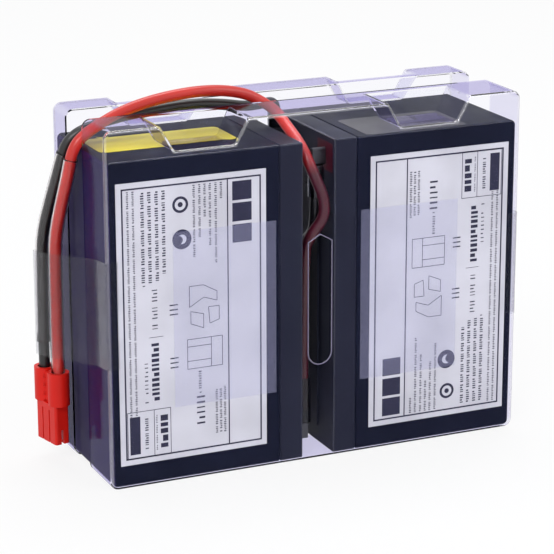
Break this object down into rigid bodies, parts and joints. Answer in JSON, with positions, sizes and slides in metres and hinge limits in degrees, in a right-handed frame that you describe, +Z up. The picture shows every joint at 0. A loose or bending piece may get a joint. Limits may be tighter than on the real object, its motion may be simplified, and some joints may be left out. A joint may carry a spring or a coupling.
{
  "type": "ups battery cartridge",
  "caption": "Replacement battery cartridge for a backup power supply: paired upright bricks in clear trays, taped, with red and black leads to a red two-pole plug.",
  "frame": {"origin": "middle of the base, at floor level, midway between the two end walls and the two faces of the trays", "axes": "+X to the cartridge's right seen from the front, +Y from the front tray to the rear tray, +Z up"},
  "size_m": [0.2227, 0.0684, 0.1739],
  "materials": {
    "tray_sheet": "clear thermoformed sheet, glossy",
    "tape_film": "clear adhesive tape, slightly creased",
    "case_plastic": "dark navy moulded plastic, fine satin",
    "lid_plastic": "dark navy moulded plastic, fine satin",
    "vent_rubber": "black valve rubber",
    "plate_lead": "lead plates and glass mat, dull grey",
    "strap_lead": "cast lead, dull",
    "label_paper": "pale coated label",
    "pad_film": "clear adhesive pad, frosted",
    "tinned_brass": "tinned brass, bright",
    "seal_red": "red terminal surround",
    "seal_black": "black terminal surround",
    "sleeve_clear": "clear plastic sleeve",
    "sticker_yellow": "yellow sticker, satin",
    "sticker_grey": "grey sticker, satin",
    "lead_red": "red wire insulation, soft gloss",
    "lead_black": "black wire insulation, soft gloss",
    "connector_red": "red moulded connector, satin gloss",
    "contact_metal": "silver-plated copper"
  },
  "bodies": {
    "root": {"left_case": "case_plastic", "left_lid": "lid_plastic", "left_vent_cover": "lid_plastic", "left_vent_caps": "vent_rubber", "left_plate_packs": "plate_lead", "left_cell_straps": "strap_lead", "left_label": "label_paper", "left_adhesive_pad": "pad_film", "left_terminal_positive": "tinned_brass", "left_terminal_negative": "tinned_brass", "left_seal_positive": "seal_red", "left_seal_negative": "seal_black", "right_case": "case_plastic", "right_lid": "lid_plastic", "right_vent_cover": "lid_plastic", "right_vent_caps": "vent_rubber", "right_plate_packs": "plate_lead", "right_cell_straps": "strap_lead", "right_label": "label_paper", "right_adhesive_pad": "pad_film", "right_terminal_positive": "tinned_brass", "right_terminal_negative": "tinned_brass", "right_seal_positive": "seal_red", "right_seal_negative": "seal_black", "receptacle_left_positive": "tinned_brass", "boot_left_positive": "sleeve_clear", "receptacle_left_negative": "tinned_brass", "boot_left_negative": "sleeve_clear", "receptacle_right_positive": "tinned_brass", "boot_right_positive": "sleeve_clear", "receptacle_right_negative": "tinned_brass", "boot_right_negative": "sleeve_clear", "front_tray": "tray_sheet", "rear_tray": "tray_sheet", "left_tape": "tape_film", "right_tape": "tape_film", "yellow_sticker": "sticker_yellow", "grey_sticker": "sticker_grey", "red_lead": "lead_red", "black_lead": "lead_black", "jumper_lead": "lead_black", "red_lead_sleeve": "sleeve_clear", "black_lead_sleeve": "sleeve_clear", "connector_housing": "connector_red", "connector_contacts": "contact_metal"}
  },
  "joints": []
}
